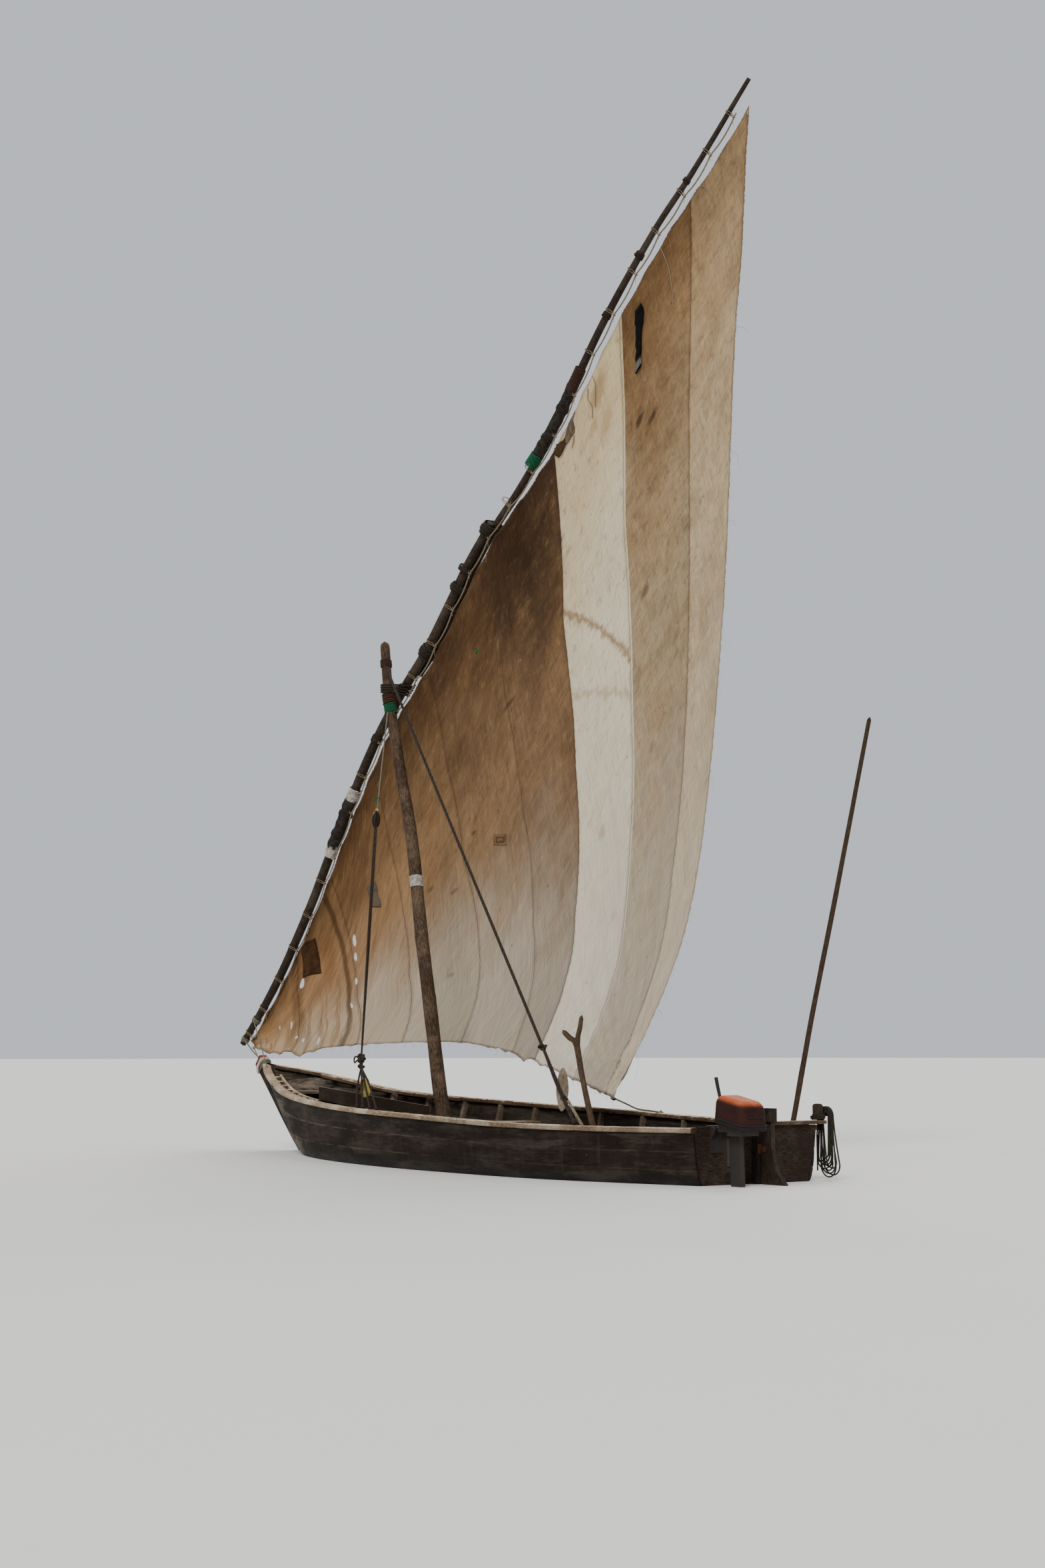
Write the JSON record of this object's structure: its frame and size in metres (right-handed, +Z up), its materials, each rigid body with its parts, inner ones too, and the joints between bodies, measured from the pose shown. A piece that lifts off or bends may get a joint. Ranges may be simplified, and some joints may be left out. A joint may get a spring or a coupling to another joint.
{
  "type": "dhow sailing boat",
  "caption": "Small open wooden dhow with a raked mast, a long lashed yard with a patched lateen sail, a hung rudder and a clamped outboard motor.",
  "frame": {"origin": "on the waterline and the centreline, 4.8 m forward of the transom's aft face", "axes": "+X forward to the stem, +Y to port, +Z up"},
  "size_m": [10.724, 3.2237, 11.9181],
  "materials": {
    "hull_wood": "weathered, tarred and scuffed",
    "bleached_wood": "sun-bleached, cracked",
    "spar_wood": "weathered bare pole",
    "sailcloth": "patched canvas, matt",
    "rope": "worn laid rope",
    "iron": "rusted",
    "motor_metal": "worn grey paint",
    "motor_hood": "faded red",
    "grip": "matt black"
  },
  "bodies": {
    "hull": {"keel": "hull_wood", "stempost": "hull_wood", "sternpost": "hull_wood", "transom": "hull_wood", "frames": "hull_wood", "riser_port": "hull_wood", "riser_stbd": "hull_wood", "bottom_boards": "hull_wood", "stern_deck": "hull_wood", "fore_deck": "hull_wood", "mast_step": "hull_wood", "pole_socket": "hull_wood", "bollard": "hull_wood", "shroud_block": "hull_wood", "strake_port_1": "hull_wood", "strake_port_2": "hull_wood", "strake_port_3": "hull_wood", "strake_stbd_1": "hull_wood", "strake_stbd_2": "hull_wood", "strake_stbd_3": "hull_wood", "cap_rail_port": "bleached_wood", "cap_rail_stbd": "bleached_wood", "inwale_port": "bleached_wood", "inwale_stbd": "bleached_wood", "stern_beam": "bleached_wood", "thwart_aft": "bleached_wood", "thwart_mid": "bleached_wood", "thwart_mast": "bleached_wood", "thwart_fore": "bleached_wood", "paddle": "bleached_wood", "rail_plank": "bleached_wood", "mast": "spar_wood", "crutch": "spar_wood", "pole": "spar_wood", "shroud_collar": "rope", "stay_collar": "rope", "mast_band": "rope", "shroud": "rope", "shroud_falls": "rope", "backstay": "rope", "rope_hank": "rope", "gudgeon_1": "iron", "gudgeon_2": "iron", "motor_clamp": "motor_metal"},
    "yard": {"lower_spar": "spar_wood", "upper_spar": "spar_wood", "yard_lashing_1": "rope", "yard_lashing_2": "rope", "luff_rope": "rope", "sail": "sailcloth", "parrel": "rope"},
    "rudder": {"rudder": "hull_wood", "pintle_1": "iron", "pintle_2": "iron"},
    "motor_tilt": {"motor_swivel": "motor_metal"},
    "motor_steer": {"motor_leg": "motor_metal", "motor_cowl": "motor_hood", "motor_tiller": "grip"},
    "propeller": {"propeller": "motor_metal"}
  },
  "joints": [
    {"name": "yard_slew", "type": "hinge", "parent": "hull", "child": "yard", "pos_m": [1.83, 0, 5.6], "axis": [0, 0, 1], "range_deg": [0, 40]},
    {"name": "rudder_turn", "type": "hinge", "parent": "hull", "child": "rudder", "pos_m": [-4.935, 0, 0], "axis": [0, 0, 1], "range_deg": [-30, 30]},
    {"name": "motor_tilt", "type": "hinge", "parent": "hull", "child": "motor_tilt", "pos_m": [-4.85, 0.47, 0.52], "axis": [0, 1, 0], "range_deg": [0, 50]},
    {"name": "motor_steer", "type": "hinge", "parent": "motor_tilt", "child": "motor_steer", "pos_m": [-4.96, 0.47, 0.3], "axis": [0, 0, 1], "range_deg": [-30, 30]},
    {"name": "propeller_spin", "type": "hinge", "parent": "motor_steer", "child": "propeller", "pos_m": [-5.2, 0.47, -0.33], "axis": [1, 0, 0], "continuous": true}
  ]
}
